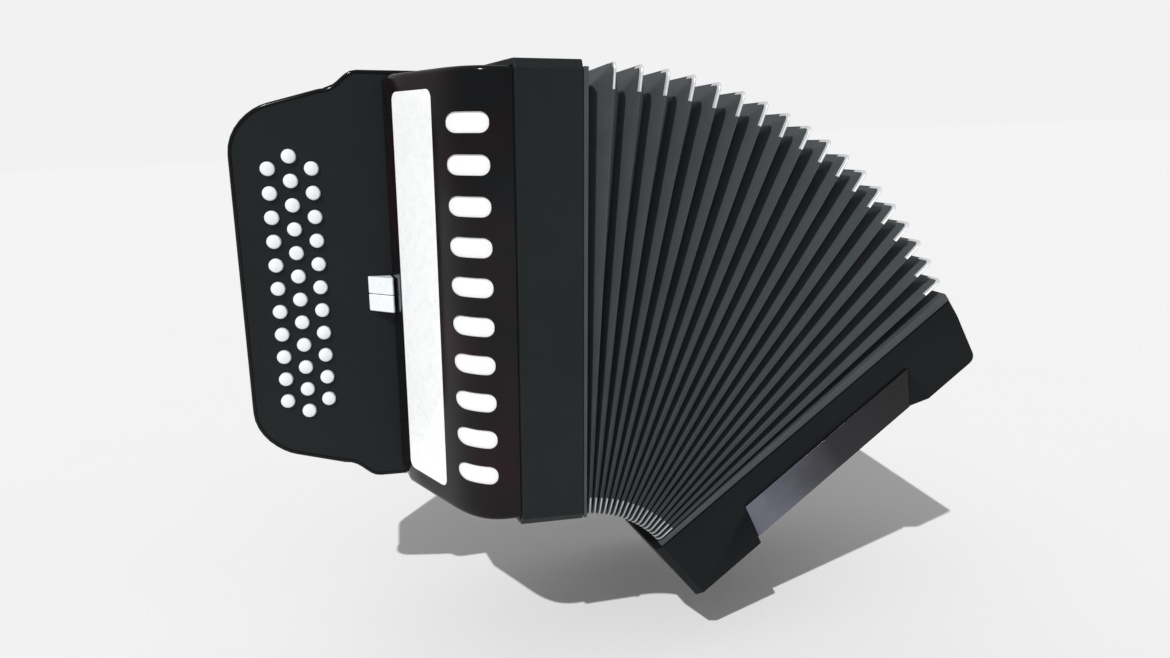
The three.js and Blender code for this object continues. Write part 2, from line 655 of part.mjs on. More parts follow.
// The palm recess's hollow, or the plate on its floor: from one height over the floor to another.
function palmWedge(low, high, inset) {
  const t = BASS_THICKNESS + (inset ? -inset : 2);
  const slope = PALM_DEPTH / (BASS_THICKNESS - PALM_INNER);
  const inner = PALM_INNER + inset;
  const top = -PALM_TOP - inset;
  const foot = -PALM_TOP - PALM_LENGTH + inset;
  const rake = PALM_END_RAKE * (inset ? 1 : 1.05);
  const depth = (x) => FRONT + (x - PALM_INNER) * slope;
  const front = (x) => (inset ? depth(x) - high : FRONT - high);
  const flare = inset ? 0 : 4;
  const points = [
    [inner, depth(inner) - low, foot],
    [t, depth(t) - low, foot - rake * 0.5],
    [t, depth(t) - low, top - rake],
    [inner, depth(inner) - low, top],
    [inner, front(inner), foot],
    [t, front(t), foot - rake * 0.5 - flare * 0.5],
    [t, front(t), inset ? top - rake : top + flare],
    [inner, front(inner), top],
  ];
  const faces = [
    [0, 1, 2, 3],
    [4, 7, 6, 5],
    [0, 4, 5, 1],
    [1, 5, 6, 2],
    [2, 6, 7, 3],
    [3, 7, 4, 0],
  ];
  return polyhedron(points, faces.map((f) => f.reverse()));
}

function bassButtonPlaces() {
  const places = [];
  for (let row = 0; row < 2; row++) {
    for (let i = 0; i < BASS_BUTTON_ROWS; i++) {
      places.push({
        name: `bass_button_${row + 1}_${i + 1}`,
        radius: BASS_BUTTON_RADIUS,
        proud: BASS_BUTTON_PROUD,
        y: FRONT + BASS_BUTTON_FROM_FRONT + row * BASS_BUTTON_PITCH,
        z: -BASS_BUTTON_TOP - (i + row * 0.5) * BASS_BUTTON_PITCH,
      });
    }
  }
  places.push({
    name: "air_button",
    radius: AIR_BUTTON_RADIUS,
    proud: AIR_BUTTON_PROUD,
    y: FRONT + BASS_BUTTON_FROM_FRONT + BASS_BUTTON_PITCH / 2,
    z: -AIR_BUTTON_DOWN,
  });
  return places;
}

function bassButtons() {
  for (const { name, radius, proud, y, z } of bassButtonPlaces()) {
    const g = capAndStem(radius, proud, BASS_WALL + 1, radius * 0.45, 6, 10);
    const solid = toSolid(g.rotateZ(Math.PI / 2).translate(BASS_THICKNESS, y, z));
    add(name, solid, "pearl_white", bassGroup);
  }
}

// Hand strap: lies flat at both ends and arches over the hand between them.
function handStrap() {
  const t = BASS_THICKNESS + GAP;
  const top = -STRAP_DOWN;
  const foot = top - STRAP_LENGTH;
  const arch = (rise) => [
    [t + rise, top - STRAP_LANDING],
    [t + STRAP_RISE * 0.55 + rise, top - STRAP_LANDING - 30],
    [t + STRAP_RISE + rise, top - STRAP_LANDING - 66],
    [t + STRAP_RISE + rise, foot + STRAP_LANDING + 66],
    [t + STRAP_RISE * 0.55 + rise, foot + STRAP_LANDING + 30],
    [t + rise, foot + STRAP_LANDING],
  ];
  const shape = outline([
    [t, top],
    ...arch(0),
    [t, foot],
    [t + STRAP_THICKNESS, foot],
    ...arch(STRAP_THICKNESS).reverse(),
    [t + STRAP_THICKNESS, top],
  ]);
  const middle = FRONT + STRAP_FROM_FRONT;
  const strap = throughDepth(shape, middle - STRAP_WIDTH / 2, middle + STRAP_WIDTH / 2);
  add("hand_strap", strap, "leather", bassGroup);
}

function bassInside() {
  const x0 = BASS_THICKNESS - BASS_WALL - REED_BLOCK.x - 10;
  const block_ = reedBlock(x0, FRONT + 112, -BASS_LENGTH + 40, -40);
  add("bass_reed_block", block_, "spruce", bassGroup);
}

function bassEnd() {
  bassCasing();
  add("palm_plate", palmWedge(GAP, GAP + PALM_PLATE, 0.5), "palm_gloss", bassGroup);
  bassButtons();
  handStrap();
  bassInside();
  const { tilt, origin } = bassPlace();
  bassGroup.rotation.y = tilt;
  bassGroup.position.set(origin.x, 0, origin.y);
  group.add(bassGroup);
}

trebleCasing();
treblecover();
coverInlay();
grilleLining();
fingerboard();
trebleButtons();
registerTabs();
trebleInside();
bellows();
endFrames();
bassEnd();

export default group;
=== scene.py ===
"""Button accordion, bellows fanned open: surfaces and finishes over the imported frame.

Lengths in this file are millimetres until a mesh is made, which turns them into metres.
X runs from the fingerboard to the bass end, the grille faces -Y, Z is up the treble casing.
"""

import math

import bmesh
import bpy
import numpy as np
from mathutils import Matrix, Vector


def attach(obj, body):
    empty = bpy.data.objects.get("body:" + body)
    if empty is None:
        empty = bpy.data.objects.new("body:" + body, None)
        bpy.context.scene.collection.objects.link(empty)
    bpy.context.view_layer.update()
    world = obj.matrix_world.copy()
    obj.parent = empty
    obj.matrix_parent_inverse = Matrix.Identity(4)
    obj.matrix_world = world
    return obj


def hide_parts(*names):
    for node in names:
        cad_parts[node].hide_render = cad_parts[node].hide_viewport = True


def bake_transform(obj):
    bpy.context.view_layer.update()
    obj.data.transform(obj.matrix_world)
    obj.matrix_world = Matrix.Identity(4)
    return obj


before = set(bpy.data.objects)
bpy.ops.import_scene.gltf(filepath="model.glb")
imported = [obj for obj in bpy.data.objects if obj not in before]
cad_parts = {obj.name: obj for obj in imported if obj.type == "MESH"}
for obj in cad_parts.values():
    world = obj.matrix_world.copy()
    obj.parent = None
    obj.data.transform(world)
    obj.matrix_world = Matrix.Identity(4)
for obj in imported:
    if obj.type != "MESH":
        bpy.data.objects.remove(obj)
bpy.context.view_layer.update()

MM = 0.001

# ---------- the instrument's own sizes ----------
FRONT = -185.0  # Y of the casings' front faces
BELLOWS_SIDE = 28.5  # X of the treble casing's side at the bellows
FRONT_CORNER = -14.5  # X where its front face ends at the cover
CASING_EDGE = -28.8  # X of its other side, under cover and fingerboard
HALF_FLAT = 149.3  # half the height of its flat front
COVER_EDGE = FRONT_CORNER - 0.9
COVER_HALF = 150.5
COVER_BACK = 2.5  # the cover's face lies this far behind the casing's
BOARD_FACE = FRONT + 113.2

FOLDS = 18
SECTION_LINES = 12  # half-folds in each of the bellows' three sections
FOLD_DEPTH = 20.0
FOLD_PITCH = 3.42  # along the feet of the folds
FOLD_CORNER = 5.6
FAN_START = (2.9, -3.9)  # the first fold's foot, from the casing's side and from its flat foot
FAN_FIRST = 3.0  # degrees from upright of the first ridge
FAN_LAST = 49.2  # and of the last
FAN_MARGINS = (2.8, 1.7)  # degrees beyond them to the lines at the bellows frames
FAN_HEIGHT = 307.8  # length of the first folds
FAN_LOSS = 25.0  # and how much shorter the last is

BASS_TILT = math.radians(51.5)
BASS_THICK = 52.5
BASS_LENGTH = 284.6
BASS_FLOOR = -BASS_LENGTH + 5.7
BASS_JOIN = 4.1  # from the last fold line to the bass casing
BASS_FOOT = 0.25  # the bass casing's foot, past that line's foot


# ---------- mesh making ----------
def piece(name, points, faces, finish, smooth_angle=32.0, interior=None):
    """A mesh from points in millimetres and index faces: doubles merged, normals turned outwards (for an
    open sheet, away from a point said to be inside), smooth except across edges sharper than an angle."""
    mesh = bpy.data.meshes.new(name)
    metres = np.asarray(points, float).reshape(-1, 3) * MM
    mesh.from_pydata(metres.tolist(), [], [list(f) for f in faces])
    bm = bmesh.new()
    bm.from_mesh(mesh)
    bmesh.ops.remove_doubles(bm, verts=bm.verts, dist=2e-6)
    bmesh.ops.dissolve_degenerate(bm, edges=bm.edges, dist=1e-7)
    bmesh.ops.recalc_face_normals(bm, faces=bm.faces)
    bm.to_mesh(mesh)
    bm.free()
    if interior is not None:
        centres = np.zeros(len(mesh.polygons) * 3, np.float32)
        normals = np.zeros(len(mesh.polygons) * 3, np.float32)
        mesh.polygons.foreach_get("center", centres)
        mesh.polygons.foreach_get("normal", normals)
        away = centres.reshape(-1, 3) - np.asarray(interior, np.float32) * MM
        if (away * normals.reshape(-1, 3)).sum() < 0:
            mesh.flip_normals()
    mesh.shade_smooth()
    mesh.set_sharp_from_angle(angle=math.radians(smooth_angle))
    mesh.materials.append(finish)
    obj = bpy.data.objects.new(name, mesh)
    bpy.context.scene.collection.objects.link(obj)
    return obj


def grid_faces(rows, cols, close_rows=False, close_cols=False, first=0):
    """Quads over a grid of rows x cols points, wrapping round where a direction is closed."""
    index = np.arange(rows * cols).reshape(rows, cols) + first
    if close_rows:
        index = np.vstack([index, index[:1]])
    if close_cols:
        index = np.hstack([index, index[:, :1]])
    quads = np.stack([index[:-1, :-1], index[:-1, 1:], index[1:, 1:], index[1:, :-1]], axis=-1)
    return quads.reshape(-1, 4)


def end_caps(rows, cols, first=0):
    """The two many-sided faces that close a tube of rows x cols points at its ends."""
    last = first + (rows - 1) * cols
    return [[first + i for i in range(cols)], [last + i for i in range(cols)]]


def path_frame(path):
    """Unit direction at every point of a flat path, and that direction turned a quarter turn clockwise."""
    step = np.gradient(path, axis=0)
    step /= np.linalg.norm(step, axis=1, keepdims=True)
    return step, np.stack([step[:, 1], -step[:, 0]], axis=1)


def thicken(obj, amount):
    """Gives a sheet its thickness, in millimetres, on the inner side."""
    mod = obj.modifiers.new("thickness", "SOLIDIFY")
    mod.thickness = amount * MM
    mod.offset = -1.0
    mod.use_even_offset = True
    mod.use_rim = True


def round_edges(obj, width, segments, angle):
    """Rounds every edge sharper than angle to a radius of about width millimetres."""
    mod = obj.modifiers.new("rounding", "BEVEL")
    mod.width = width * MM
    mod.segments = segments
    mod.limit_method = "ANGLE"
    mod.angle_limit = math.radians(angle)
    mod.harden_normals = True


def softened(node, finish, width, segments, angle):
    """A solid's own shape with its loose triangles joined, flat faces made whole, and edges rounded."""
    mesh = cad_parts[node].data.copy()
    mesh.name = node + "_shell"
    bm = bmesh.new()
    bm.from_mesh(mesh)
    bmesh.ops.remove_doubles(bm, verts=bm.verts, dist=2e-5)
    bmesh.ops.dissolve_limit(bm, angle_limit=math.radians(0.6), verts=bm.verts, edges=bm.edges)
    bm.to_mesh(mesh)
    bm.free()
    mesh.shade_smooth()
    mesh.set_sharp_from_angle(angle=math.radians(angle))
    mesh.materials.clear()
    mesh.materials.append(finish)
    obj = bpy.data.objects.new(node + "_shell", mesh)
    bpy.context.scene.collection.objects.link(obj)
    round_edges(obj, width, segments, angle)
    return obj


def place(obj, body, node=None):
    """Hangs a finished piece on its body, in place of a solid when one is named."""
    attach(obj, body)
    if node:
        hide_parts(node)


# ---------- finishes ----------
class Finish:
    """A material and short ways to add the nodes that give it its surface."""

    def __init__(self, name, color, roughness, metallic=0.0, coat=0.0, sheen=0.0, specular=0.5):
        self.material = bpy.data.materials.new(name)
        self.material.use_nodes = True
        tree = self.material.node_tree
        self.nodes, self.links = tree.nodes, tree.links
        self.shader = self.nodes["Principled BSDF"]
        self.shader.inputs["Base Color"].default_value = (*color, 1.0)
        self.shader.inputs["Roughness"].default_value = roughness
        self.shader.inputs["Metallic"].default_value = metallic
        self.shader.inputs["Coat Weight"].default_value = coat
        self.shader.inputs["Coat Roughness"].default_value = 0.05
        self.shader.inputs["Sheen Weight"].default_value = sheen
        self.shader.inputs["Specular IOR Level"].default_value = specular
        self.place = self.nodes.new("ShaderNodeTexCoord").outputs["Object"]
        self.color = color
        self.height = None

    def noise(self, scale, detail=4.0, stretch=(1, 1, 1)):
        """Cloudy noise, scale in grains per metre, each axis stretched by its own factor."""
        mapping = self.nodes.new("ShaderNodeMapping")
        mapping.inputs["Scale"].default_value = stretch
        self.links.new(self.place, mapping.inputs["Vector"])
        noise = self.nodes.new("ShaderNodeTexNoise")
        noise.inputs["Scale"].default_value = scale
        noise.inputs["Detail"].default_value = detail
        noise.inputs["Roughness"].default_value = 0.55
        self.links.new(mapping.outputs["Vector"], noise.inputs["Vector"])
        return noise.outputs["Fac"]

    def wave(self, scale, axis, distortion):
        """Even bands across one axis, a little bent by distortion."""
        wave = self.nodes.new("ShaderNodeTexWave")
        wave.bands_direction = axis
        wave.inputs["Scale"].default_value = scale
        wave.inputs["Distortion"].default_value = distortion
        self.links.new(self.place, wave.inputs["Vector"])
        return wave.outputs["Fac"]

    def cells(self, scale):
        """Distance to the nearest of many scattered points: rounded grains."""
        cells = self.nodes.new("ShaderNodeTexVoronoi")
        cells.feature = "F1"
        cells.inputs["Scale"].default_value = scale
        self.links.new(self.place, cells.inputs["Vector"])
        return cells.outputs["Distance"]

    def along(self, direction):
        """Distance from the origin along a direction."""
        dot = self.nodes.new("ShaderNodeVectorMath")
        dot.operation = "DOT_PRODUCT"
        dot.inputs[1].default_value = tuple(float(c) for c in direction)
        self.links.new(self.place, dot.inputs[0])
        return dot.outputs["Value"]

    def join(self, operation, a, b):
        """Two patterns added or multiplied."""
        both = self.nodes.new("ShaderNodeMath")
        both.operation = operation
        self.links.new(a, both.inputs[0])
        self.links.new(b, both.inputs[1])
        return both.outputs[0]

    def spread(self, value, low, high, into_low, into_high):
        """A value between low and high, spread evenly to lie between two others."""
        spread = self.nodes.new("ShaderNodeMapRange")
        bounds = {"From Min": low, "From Max": high, "To Min": into_low, "To Max": into_high}
        for key, bound in bounds.items():
            spread.inputs[key].default_value = bound
        self.links.new(value, spread.inputs["Value"])
        return spread.outputs["Result"]

    def tint(self, fac, other, low, high):
        """Colour runs from the finish's own to another as fac goes from low to high."""
        mix = self.nodes.new("ShaderNodeMix")
        mix.data_type = "RGBA"
        source = self.shader.inputs["Base Color"]
        if source.is_linked:
            self.links.new(source.links[0].from_socket, mix.inputs[6])
        else:
            mix.inputs[6].default_value = (*self.color, 1.0)
        mix.inputs[7].default_value = (*other, 1.0)
        self.links.new(self.spread(fac, low, high, 0.0, 1.0), mix.inputs[0])
        self.links.new(mix.outputs[2], source)

    def rough(self, fac, low, high):
        """Roughness runs from low to high with the middle of a noise."""
        self.links.new(self.spread(fac, 0.3, 0.7, low, high), self.shader.inputs["Roughness"])

    def relief(self, fac, strength, depth):
        """Adds surface relief: depth is in millimetres, and later calls lie over earlier ones."""
        bump = self.nodes.new("ShaderNodeBump")
        bump.inputs["Strength"].default_value = strength
        bump.inputs["Distance"].default_value = depth * MM
        self.links.new(fac, bump.inputs["Height"])
        if self.height is not None:
            self.links.new(self.height, bump.inputs["Normal"])
        self.height = bump.outputs["Normal"]
        self.links.new(self.height, self.shader.inputs["Normal"])


def srgb(code):
    """Linear colour of a six-digit code: a straight foot, then a 2.4 power curve."""
    v = np.array([int(code[i : i + 2], 16) for i in (0, 2, 4)]) / 255.0
    return tuple(np.where(v <= 0.04045, v / 12.92, ((v + 0.055) / 1.055) ** 2.4).tolist())


def satin_celluloid(name, code, cloud, specular):
    """Black sheet plastic, rubbed dull: faint clouds and a fine pitted skin."""
    f = Finish(name, srgb(code), 0.46, specular=specular)
    f.tint(f.noise(14, 3), srgb(cloud), 0.4, 0.75)
    f.rough(f.noise(60, 5), 0.42, 0.54)
    f.relief(f.noise(900, 3), 0.12, 0.05)
    return f.material


def gloss_lacquer(name, cloud):
    """Near-black polished lacquer with warm clouds and long soft waves."""
    f = Finish(name, srgb("0d0e10"), 0.14, coat=0.04, specular=0.16)
    f.tint(f.noise(16, 2), srgb(cloud), 0.42, 0.7)
    f.rough(f.noise(45, 5, (1, 1, 0.35)), 0.1, 0.22)
    f.relief(f.noise(70, 2), 0.05, 0.06)
    return f.material


def pearl_white(name, code, cloud):
    """White pearl plastic with small pale clouds."""
    f = Finish(name, srgb(code), 0.3, coat=0.1)
    f.tint(f.noise(160, 4), srgb(cloud), 0.45, 0.75)
    f.rough(f.noise(220, 4), 0.24, 0.38)
    f.relief(f.noise(420, 3), 0.04, 0.04)
    return f.material


def grille_cloth():
    """Plain weave: bands both ways multiplied."""
    f = Finish("grille_cloth", srgb("fafaf8"), 0.85, sheen=0.3)
    weave = f.join("MULTIPLY", f.wave(520, "X", 0.4), f.wave(520, "Z", 0.4))
    f.tint(weave, srgb("e9ebea"), 0.0, 0.35)
    f.relief(weave, 0.4, 0.12)
    return f.material


def folded_card():
    """Grey cloth-covered card: worn patches under fine threads both ways."""
    f = Finish("folded_card", srgb("3f4447"), 0.62, sheen=0.1, specular=0.3)
    f.tint(f.noise(35, 4), srgb("373c3f"), 0.4, 0.75)
    fine = f.join("ADD", f.noise(1500, 2, (1, 1, 3)), f.noise(1500, 2, (3, 3, 1)))
    f.tint(fine, srgb("474c4f"), 0.95, 1.25)
    f.rough(f.noise(90, 4), 0.55, 0.7)
    f.relief(fine, 0.25, 0.06)
    return f.material


def nickel_corner():
    """Pale plated strip metal, with painted shade greying the strips low down at the feet of the folds."""
    f = Finish("nickel_corner", srgb("e9ebec"), 0.36, metallic=0.4)
    f.tint(f.noise(240, 4), srgb("d8dbdc"), 0.45, 0.75)
    # painted shade: strips more than 0.12 m below the origin turn grey, fully by 0.15 m, standing in for
    # the shadow at the feet of the folds
    f.tint(f.along((0, 0, -1)), srgb("a9acae"), 0.12, 0.15)
    f.rough(f.noise(900, 3), 0.3, 0.44)
    f.relief(f.noise(1400, 2), 0.06, 0.03)
    return f.material


def steel_fitting():
    """Brushed steel, its scratches drawn out one way."""
    f = Finish("steel_fitting", srgb("b8bcbe"), 0.28, metallic=1.0)
    f.rough(f.noise(700, 3, (1, 1, 6)), 0.2, 0.4)
    f.relief(f.noise(1200, 2, (1, 1, 8)), 0.08, 0.03)
    return f.material


def palm_gloss(foot, middle, top):
    """Grey-violet at the foot, running to near black: three heights along the bass end, in metres."""
    f = Finish("palm_gloss", srgb("696a76"), 0.14, coat=0.04, specular=0.16)
    height = f.along(BASS_UP)
    f.tint(height, srgb("242428"), foot, middle)
    f.tint(height, srgb("111114"), middle, top)
    f.tint(f.noise(20, 3), srgb("1b1b20"), 0.55, 1.1)
    f.rough(f.noise(120, 4), 0.1, 0.2)
    return f.material


def strap_leather():
    """Black leather: round grains with soft wrinkles over them and worn brown patches."""
    f = Finish("strap_leather", srgb("18181b"), 0.5, specular=0.45)
    f.tint(f.noise(55, 5), srgb("25231f"), 0.45, 0.8)
    f.rough(f.noise(130, 4), 0.42, 0.62)
    f.relief(f.cells(900), 0.35, 0.12)
    f.relief(f.noise(400, 4), 0.2, 0.1)
    return f.material


def stitch_thread():
    """Grey waxed thread with its twist."""
    f = Finish("stitch_thread", srgb("6f6f6a"), 0.8, sheen=0.3)
    f.relief(f.wave(1800, "Z", 2.0), 0.5, 0.1)
    f.tint(f.noise(500, 3), srgb("575752"), 0.4, 0.7)
    return f.material


def bare_spruce():
    """Unvarnished softwood, its grain drawn out along Z."""
    f = Finish("bare_spruce", srgb("c9a772"), 0.62)
    grain = f.noise(110, 4, (1, 1, 0.06))
    f.tint(grain, srgb("a9824e"), 0.42, 0.68)
    f.rough(f.noise(60, 4), 0.55, 0.72)
    f.relief(grain, 0.2, 0.1)
    return f.material


def studio_floor():
    """Dull pale card."""
    f = Finish("studio_floor", srgb("f0f0f0"), 0.95, specular=0.0)
    f.tint(f.noise(3, 2), srgb("efefef"), 0.4, 0.7)
    return f.material


SATIN = satin_celluloid("satin_celluloid", "15191b", "1a1e20", 0.2)
BOARD = satin_celluloid("board_satin", "14181a", "181c1e", 0.2)
BASS_SATIN = satin_celluloid("bass_satin", "0c0f11", "101315", 0.14)
GLOSS = gloss_lacquer("gloss_lacquer", "1d0d11")
BINDING = gloss_lacquer("binding_lacquer", "08090a")
PEARL = pearl_white("pearl_white", "fbfcfc", "f0f3f4")
BUTTON_WHITE = pearl_white("button_white", "f0f3f5", "e6ebee")
CLOTH = grille_cloth()
CARD = folded_card()
NICKEL = nickel_corner()
STEEL = steel_fitting()
LEATHER = strap_leather()
THREAD = stitch_thread()
SPRUCE = bare_spruce()


# ---------- grille cover ----------
def bezier(p0, p1, p2, p3, t):
    """Cubic curve through p0 and p3 with handles p1 and p2, at every t."""
    t = np.asarray(t)[:, None]
    return (1 - t) ** 3 * p0 + 3 * (1 - t) ** 2 * t * p1 + 3 * (1 - t) * t**2 * p2 + t**3 * p3


def cover_corner(across, back):
    """A corner of the cover's plan path, from the casing's front corner."""
    return np.array([FRONT_CORNER + across, FRONT + back])


BEND_FROM = cover_corner(-10, COVER_BACK)
PANEL_NEAR = cover_corner(-48.1, 33.5)
PANEL_FAR = cover_corner(-75.0, 83.4)
COVER_FOOT = cover_corner(-80.8, 112.9)
PANEL_SLOPE = (PANEL_FAR - PANEL_NEAR) / np.linalg.norm(PANEL_FAR - PANEL_NEAR)


def bend_depth(x):
    """Y of the cover's bowed part for each x: the bend's cubic, looked up by its own x."""
    t = np.linspace(0, 1, 600)
    curve = bezier(BEND_FROM, BEND_FROM + [-20, 0], PANEL_NEAR - 17 * PANEL_SLOPE, PANEL_NEAR, t)
    flat = np.vstack([[FRONT_CORNER + 5, FRONT + COVER_BACK], curve])
    return np.interp(-np.asarray(x), -flat[:, 0], flat[:, 1])


SLOTS = 10
SLOT_PITCH = 25.94
SLOT_X = FRONT_CORNER - 28.8
SLOT_HALF = (12.9, 6.45)
SLOT_RADIUS = 5.9
CELL_HALF = 17.0  # half the width of the grid's gap round each slot


def rounded_loop(cx, cz, hx, hz, r, across, down):
    """Rounded rectangle seen from the front, with as many points as a border of across x down cells.
    Points start at the low left corner and run right, up, left, down."""
    corners = [(cx - hx, cz - hz), (cx + hx, cz - hz), (cx + hx, cz + hz), (cx - hx, cz + hz)]
    counts = [across, down, across, down]
    border = []
    for (a, b), (c, d), k in zip(corners, corners[1:] + corners[:1], counts):
        t = np.arange(k)[:, None] / k
        border.append(np.array([[a, b]]) * (1 - t) + np.array([[c, d]]) * t)
    p = np.vstack(border) - [cx, cz]
    inner = np.array([hx - r, hz - r])
    core = np.clip(p, -inner, inner)
    away = p - core
    length = np.maximum(np.linalg.norm(away, axis=1, keepdims=True), 1e-9)
    return core + away / length * r + [cx, cz]


def cover_shell():
    """The cover's outer sheet. Its plan path is flat beside the casing, bowed, straight along the inlay
    and down the side; every column of points runs straight up and turns in at both ends over a small
    radius. Round each slot the grid gives way to rings that grow from the slot's outline to its cell."""
    across, down = 22, 12
    cell_x = np.linspace(SLOT_X + CELL_HALF, SLOT_X - CELL_HALF, across + 1)
    near = np.linspace(COVER_EDGE, SLOT_X + CELL_HALF, 7)[:-1]
    far = np.linspace(SLOT_X - CELL_HALF, PANEL_NEAR[0], 5)[1:]
    xs = np.concatenate([near, cell_x, far])
    bowed = np.stack([xs, bend_depth(xs)], axis=1)
    turn = np.linspace(0, 1, 4)[1:, None]
    panel = PANEL_NEAR + (PANEL_FAR - PANEL_NEAR) * turn
    side = PANEL_FAR + (COVER_FOOT - PANEL_FAR) * np.linspace(0, 1, 6)[1:, None]
    plan = np.vstack([bowed, panel, side])
    _, inward = path_frame(plan)
    radius = 4.0
    turn_in = np.linspace(math.pi / 2, 0, 6)[:-1]
    z_end = COVER_HALF - radius + radius * np.sin(turn_in)
    inset_end = radius * (1 - np.cos(turn_in))
    cells_top = SLOTS / 2 * SLOT_PITCH
    inner_rows = np.linspace(-cells_top, cells_top, SLOTS * down + 1)
    above = np.linspace(cells_top, COVER_HALF - radius, 4)[1:]
    z = np.concatenate([-z_end, -above[::-1], inner_rows, above, z_end[::-1]])
    inset = np.concatenate([inset_end, np.zeros(len(above) * 2 + len(inner_rows)), inset_end[::-1]])
    points = np.zeros((len(z), len(plan), 3))
    points[:, :, :2] = plan[None] + inward[None] * inset[:, None, None]
    points[:, :, 2] = z[:, None]
    faces = grid_faces(len(z), len(plan))
    first_row = len(z_end) + len(above)
    row = faces[:, 0] // len(plan)
    col = faces[:, 0] % len(plan)
    in_cells = (row >= first_row) & (row < first_row + SLOTS * down)
    in_cells &= (col >= len(near)) & (col < len(near) + across)
    faces = faces[~in_cells].tolist()
    # closing strips: top and bottom faces run in from the turned ends to the casing's side
    reach = 60.0
    hidden = np.stack([np.full(len(plan), CASING_EDGE), np.maximum(plan[:, 1], FRONT + reach)], axis=1)
    beside = slice(len(bowed))
    hidden[beside, 0] = np.clip(plan[beside, 0], CASING_EDGE, COVER_EDGE)
    share = np.clip((hidden[beside, 0] - COVER_EDGE) / (CASING_EDGE - COVER_EDGE), 0, 1)
    hidden[beside, 1] = FRONT + COVER_BACK + (reach - COVER_BACK) * share
    all_points = [points.reshape(-1, 3)]
    start = points.shape[0] * points.shape[1]
    for sign, edge in ((-1, points[0]), (1, points[-1])):
        strip = np.stack([edge, np.column_stack([hidden, np.full(len(plan), sign * COVER_HALF)])])
        all_points.append(strip.reshape(-1, 3))
        faces += grid_faces(2, len(plan), first=start).tolist()
        start += strip.shape[0] * strip.shape[1]
    rings = (1 - np.cos(np.linspace(0, math.pi / 2, 6)))[:, None, None]
    for i in range(SLOTS):
        cz = (i - (SLOTS - 1) / 2) * SLOT_PITCH
        hole = rounded_loop(SLOT_X, cz, *SLOT_HALF, SLOT_RADIUS, across, down)
        edge = rounded_loop(SLOT_X, cz, CELL_HALF, SLOT_PITCH / 2, 1e-6, across, down)
        loop = hole[None] * (1 - rings) + edge[None] * rings
        flat = loop.reshape(-1, 2)
        all_points.append(np.column_stack([flat[:, 0], bend_depth(flat[:, 0]), flat[:, 1]]))
        faces += grid_faces(len(rings), loop.shape[1], close_cols=True, first=start).tolist()
        start += len(flat)
    shell = piece("grille_cover_shell", np.vstack(all_points), faces, GLOSS, 40, (-45, -125, 0))
    thicken(shell, 0.6)
    round_edges(shell, 0.2, 2, 50)
    return shell


place(cover_shell(), "treble_end", "treble_cover")


def slot_cloth():
    """Cloth stretched behind the slots: the cover's bow set in by its wall, straight from top to bottom."""
    behind = 0.8
    half_height = 139.0
    xs = np.linspace(FRONT_CORNER - 12, PANEL_NEAR[0] + 4, 40)
    path = np.stack([xs, bend_depth(xs)], axis=1)
    path = path + path_frame(path)[1] * behind
    z = np.linspace(-half_height, half_height, 60)
    points = np.zeros((len(z), len(xs), 3))
    points[:, :, :2] = path[None]
    points[:, :, 2] = z[:, None]
    cloth = piece("slot_cloth", points, grid_faces(len(z), len(xs)), CLOTH, 32, (0, -100, 0))
    thicken(cloth, 0.5)
    return cloth


place(slot_cloth(), "treble_end", "grille_lining")

place(softened("cover_inlay", PEARL, 0.3, 2, 40), "treble_end", "cover_inlay")
place(softened("treble_casing", SATIN, 0.9, 3, 25), "treble_end", "treble_casing")
place(softened("keyboard_housing", SATIN, 1.6, 3, 40), "treble_end", "keyboard_housing")


# ---------- fingerboard ----------
def board_outline():
    """Half outline of the fingerboard from the casing outwards, mirrored about mid-height: an S-curved
    shoulder, a long waist, and a round free corner, the curves both cubic."""
    top, waist, left = 155.0, 141.5, FRONT_CORNER - 189
    t = np.linspace(0, 1, 24)
    shoulder = FRONT_CORNER - 98
    shoulder_curve = bezier(
        np.array([shoulder, top]),
        np.array([shoulder - 10.8, top]),
        np.array([shoulder - 13.5, waist]),
        np.array([shoulder - 27, waist]),
        t,
    )
    corner = waist - 9.9
    corner_curve = bezier(
        np.array([left + 28.6, corner]),
        np.array([left + 16.94, corner - 3.08]),
        np.array([left, corner - 16.94]),
        np.array([left, corner - 36.08]),
        t,
    )
    upper = np.vstack([[[CASING_EDGE, top]], shoulder_curve, corner_curve])
    return np.vstack([upper, upper[::-1] * [1, -1]])


def board_binding():
    """Rounded binding along the fingerboard's edge: a quarter-round profile carried round the outline,
    proud of the face by half a millimetre and turned down over the board's edge."""
    path = board_outline()
    _, inward = path_frame(path)
    middle = path.mean(axis=0)
    inward *= np.sign(((middle - path) * inward).sum(axis=1, keepdims=True))
    angle = np.linspace(0, math.pi / 2, 7)
    profile = [(2.7, 0.05), (2.4, -0.45)]
    profile += [(2.0 - 1.9 * math.sin(a), -0.5 + 1.9 * (1 - math.cos(a))) for a in angle]
    profile += [(0.05, 3.9), (1.2, 4.2), (3.0, 4.2)]
    profile = np.array(profile)
    points = np.zeros((len(path), len(profile), 3))
    points[:, :, 0] = path[:, None, 0] + inward[:, None, 0] * profile[None, :, 0]
    points[:, :, 2] = path[:, None, 1] + inward[:, None, 1] * profile[None, :, 0]
    points[:, :, 1] = BOARD_FACE + profile[None, :, 1]
    faces = grid_faces(len(path), len(profile), close_cols=True).tolist()
    near_end, far_end = end_caps(len(path), len(profile))
    faces += [near_end[::-1], far_end]
    return piece("board_binding", points, faces, BINDING, 35)


place(board_binding(), "treble_end")


# ---------- buttons ----------
def turned(profile, sides):
    """Points of a profile (radius, height) turned about the height axis, rows along the profile."""
    a = np.linspace(0, 2 * math.pi, sides, endpoint=False)
    profile = np.asarray(profile, float)
    ring = np.stack([np.cos(a), np.sin(a)], axis=1)
    out = np.zeros((len(profile), sides, 3))
    out[:, :, :2] = profile[:, None, :1] * ring[None]
    out[:, :, 2] = profile[:, None, 1]
    return out


